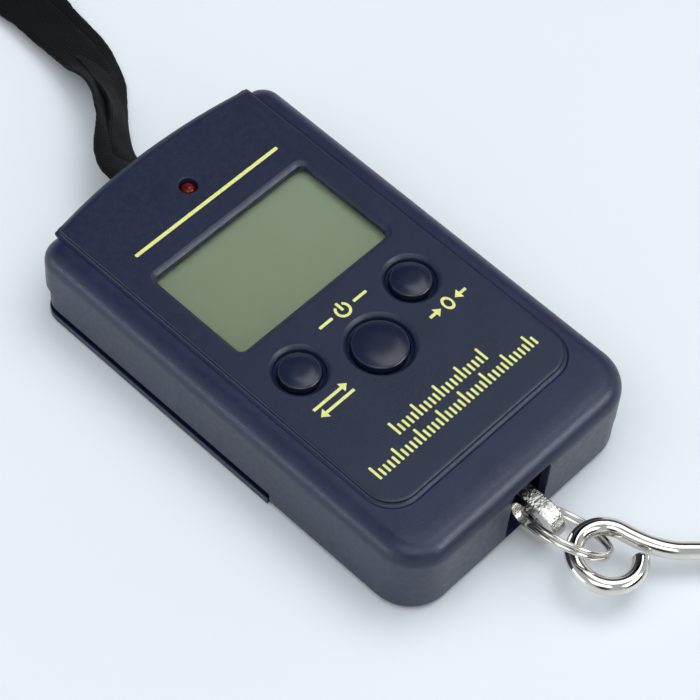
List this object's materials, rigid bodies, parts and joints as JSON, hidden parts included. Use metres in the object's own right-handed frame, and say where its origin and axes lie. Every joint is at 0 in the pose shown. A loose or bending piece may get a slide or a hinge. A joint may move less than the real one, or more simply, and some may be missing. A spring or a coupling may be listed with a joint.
{
  "type": "digital hanging scale",
  "caption": "Pocket hanging scale: rounded case with a display and push buttons, a steel hook on a split ring at one end, a wrist strap at the other and a sliding battery door behind.",
  "frame": {"origin": "on the flat rear face of the battery door, midway across the case, 46 mm from the case's hook end", "axes": "+Z out of the display, +Y along the case towards the strap, +X to the display's right"},
  "size_m": [0.0724, 0.2322, 0.0184],
  "materials": {
    "navy_plastic": "fine textured navy ABS",
    "button_plastic": "satin navy",
    "clear_window": "clear acrylic window",
    "lcd_glass": "grey-green reflective liquid-crystal cell",
    "zebra_elastomer": "matt",
    "board_laminate": "solder-masked laminate",
    "black_epoxy": "cured blob",
    "spring_steel": "plated",
    "zinc_screw": "zinc plated",
    "led_red": "diffused red lens",
    "battery_wrap": "printed sleeve, unmarked",
    "load_cell_aluminium": "milled",
    "gauge_foil": "polyimide film",
    "bright_nickel": "bright nickel plate",
    "black_strap": "woven tape",
    "wire_red": "PVC sleeve",
    "wire_black": "PVC sleeve",
    "wire_green": "PVC sleeve",
    "wire_white": "PVC sleeve"
  },
  "bodies": {
    "case": {"front_shell": "navy_plastic", "rear_shell": "navy_plastic", "lcd_lens": "clear_window", "lcd_panel": "lcd_glass", "zebra_strip": "zebra_elastomer", "circuit_board": "board_laminate", "controller_chip": "black_epoxy", "indicator_led": "led_red", "power_switch_dome": "spring_steel", "unit_switch_dome": "spring_steel", "tare_switch_dome": "spring_steel", "board_screw_1": "zinc_screw", "board_screw_2": "zinc_screw", "case_screw_1": "zinc_screw", "case_screw_2": "zinc_screw", "case_screw_3": "zinc_screw", "case_screw_4": "zinc_screw", "load_cell_bar": "load_cell_aluminium", "load_cell_screw_1": "zinc_screw", "load_cell_screw_2": "zinc_screw", "upper_strain_gauge": "gauge_foil", "lower_strain_gauge": "gauge_foil", "gauge_wire_red": "wire_red", "gauge_wire_black": "wire_black", "gauge_wire_green": "wire_green", "gauge_wire_white": "wire_white", "pull_eye": "bright_nickel", "eye_pin": "spring_steel", "battery_1": "battery_wrap", "battery_2": "battery_wrap", "contact_positive": "spring_steel", "contact_negative": "spring_steel", "contact_bridge": "spring_steel", "negative_spring": "spring_steel", "bridge_spring": "spring_steel", "strap_pin": "spring_steel", "wrist_strap": "black_strap"},
    "power_button": {"power_button": "button_plastic"},
    "unit_button": {"unit_button": "button_plastic"},
    "tare_button": {"tare_button": "button_plastic"},
    "battery_door": {"battery_door": "navy_plastic"},
    "split_ring": {"split_ring": "bright_nickel"},
    "hook": {"hook": "bright_nickel"}
  },
  "joints": [
    {"name": "power_press", "type": "slide", "parent": "case", "child": "power_button", "axis": [0, 0, -1], "range_m": [0, 0.0005], "stiffness_N_per_m": 420, "springref_m": -0.0006},
    {"name": "unit_press", "type": "slide", "parent": "case", "child": "unit_button", "axis": [0, 0, -1], "range_m": [0, 0.0005], "stiffness_N_per_m": 360, "springref_m": -0.0006},
    {"name": "tare_press", "type": "slide", "parent": "case", "child": "tare_button", "axis": [0, 0, -1], "range_m": [0, 0.0005], "stiffness_N_per_m": 360, "springref_m": -0.0006},
    {"name": "battery_door_slide", "type": "slide", "parent": "case", "child": "battery_door", "axis": [0, 1, 0], "range_m": [0, 0.007]},
    {"name": "ring_pitch", "type": "hinge", "parent": "case", "child": "split_ring", "pos_m": [0, -0.04647, 0.00616], "axis": [1, 0, 0], "range_deg": [-28, 25]},
    {"name": "hook_yaw", "type": "hinge", "parent": "split_ring", "child": "hook", "pos_m": [0.00249, -0.06137, 0.00638], "axis": [0.071, -0.062, 0.9956], "range_deg": [-60, 60]}
  ]
}
